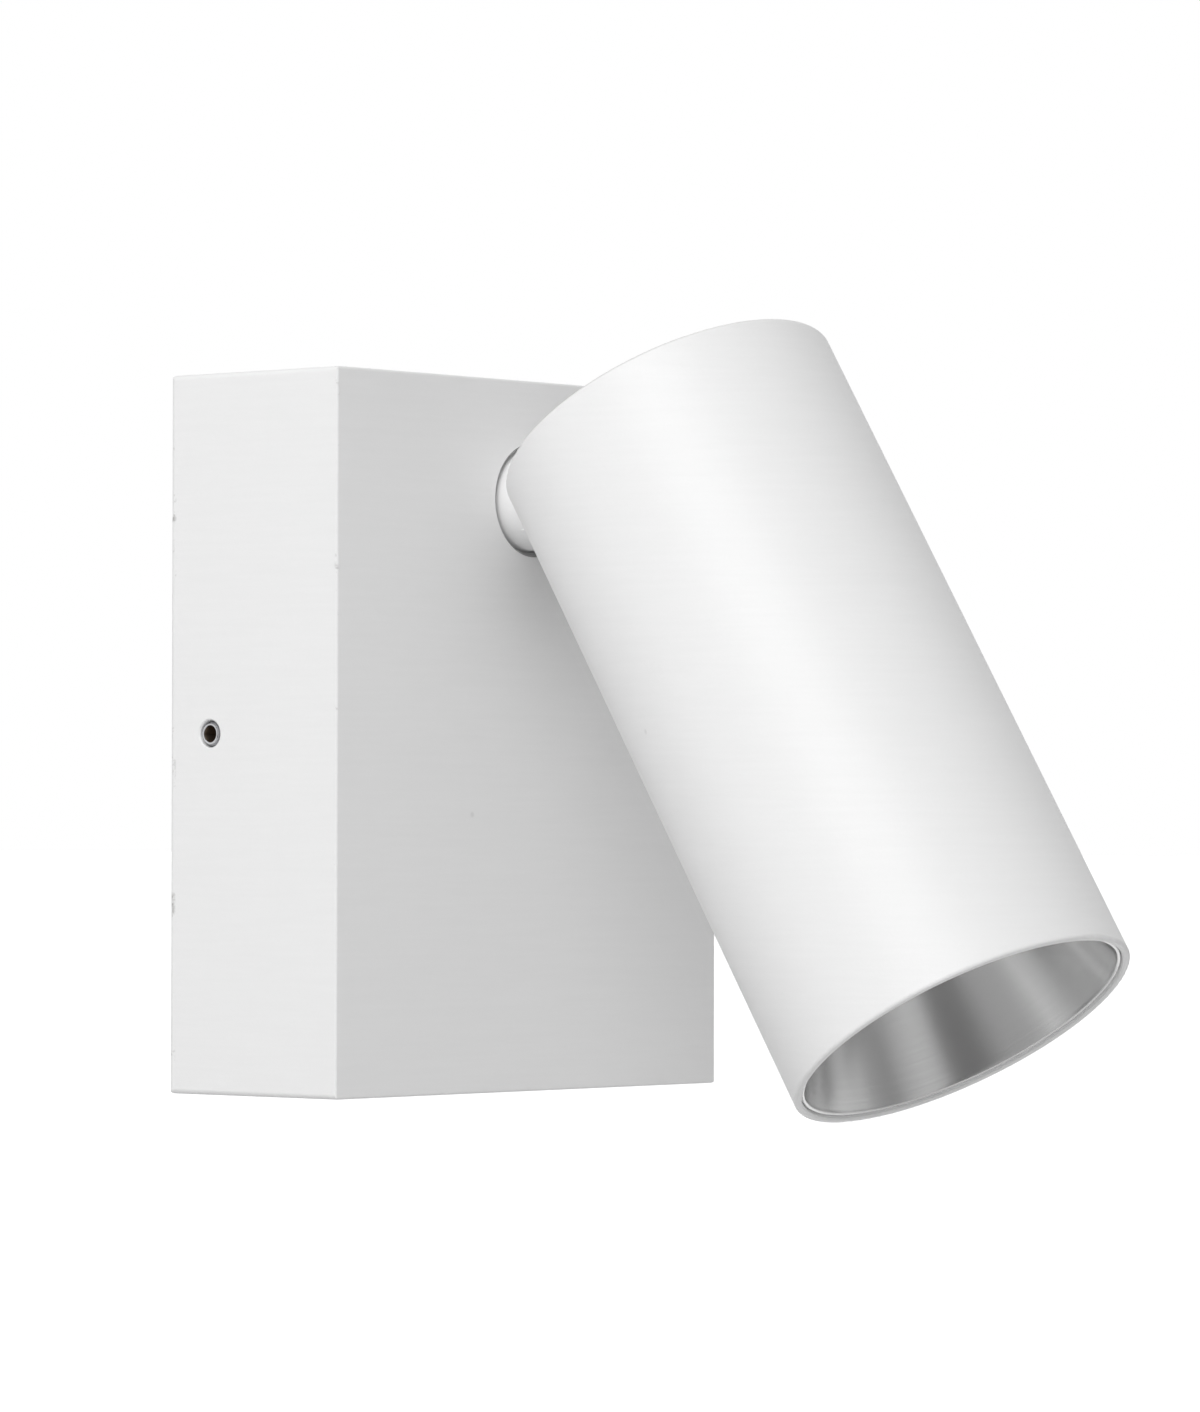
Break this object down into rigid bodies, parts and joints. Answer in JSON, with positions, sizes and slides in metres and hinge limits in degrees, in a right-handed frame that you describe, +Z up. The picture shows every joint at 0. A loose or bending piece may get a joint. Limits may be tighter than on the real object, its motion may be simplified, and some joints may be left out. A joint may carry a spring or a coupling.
{
  "type": "adjustable wall spotlight",
  "caption": "Wall spotlight with a box base and a white tube head that swivels on the base's front face and tilts on a hidden knuckle; deep reflector with an LED at its base.",
  "frame": {"origin": "middle of the base on the wall plane, midway between the two wall screws", "axes": "+Z is up, +X is to the right as seen from the room, +Y points into the wall and the light stands out along -Y"},
  "size_m": [0.089, 0.1418, 0.12],
  "materials": {
    "white_paint": "satin",
    "zinc_plate": "satin",
    "screw_steel": "satin",
    "brass": "satin",
    "tinned_lug": "satin",
    "sink_aluminium": "satin",
    "reflector_aluminium": "polished",
    "black_rubber": "matte",
    "black_nylon": "matte",
    "white_nylon": "satin",
    "white_plastic": "satin",
    "circuit_green": "satin",
    "thermal_grey": "matte",
    "led_board_white": "satin",
    "led_phosphor": "satin",
    "brown_wire": "satin",
    "blue_wire": "satin",
    "green_wire": "satin",
    "black_lead": "matte"
  },
  "bodies": {
    "base": {"base_cover": "white_paint", "wall_plate": "zinc_plate", "cable_grommet": "black_rubber", "cover_grub_screws": "screw_steel", "swivel_plate": "zinc_plate", "swivel_plate_screws": "screw_steel", "swivel_bush": "white_nylon", "stop_pin": "screw_steel", "driver_case": "white_plastic", "driver_lid": "white_plastic", "driver_board": "circuit_green", "driver_screws": "screw_steel", "terminal_body": "white_plastic", "terminal_clamps": "brass", "terminal_screws": "screw_steel", "terminal_fixing_screw": "screw_steel", "earth_stud": "brass", "earth_nut": "brass", "earth_lug": "tinned_lug", "live_wire": "brown_wire", "neutral_wire": "blue_wire", "earth_wire": "green_wire", "base_lead": "black_lead"},
    "swivel": {"swivel_arm": "white_paint", "swivel_washer": "black_nylon", "wave_washer": "screw_steel", "stop_washer": "zinc_plate", "stem_nuts": "brass", "swivel_lead": "black_lead"},
    "head": {"tube_body": "white_paint", "rear_cap": "white_paint", "cap_screws": "screw_steel", "cap_posts": "brass", "tilt_bracket": "zinc_plate", "pivot_screws": "screw_steel", "pivot_washers": "black_nylon", "bracket_screws": "screw_steel", "heat_sink": "sink_aluminium", "thermal_pad": "thermal_grey", "led_board": "led_board_white", "led_emitter": "led_phosphor", "led_holder": "white_nylon", "holder_screws": "screw_steel", "reflector": "reflector_aluminium", "head_lead": "black_lead"}
  },
  "joints": [
    {"name": "swivel", "type": "hinge", "parent": "base", "child": "swivel", "pos_m": [0, -0.035, 0.0365], "axis": [0, 1, 0], "range_deg": [-165, 165]},
    {"name": "tilt", "type": "hinge", "parent": "swivel", "child": "head", "pos_m": [0, -0.0695, 0.0365], "axis": [1, 0, 0], "range_deg": [-58.4, 31.6]}
  ]
}
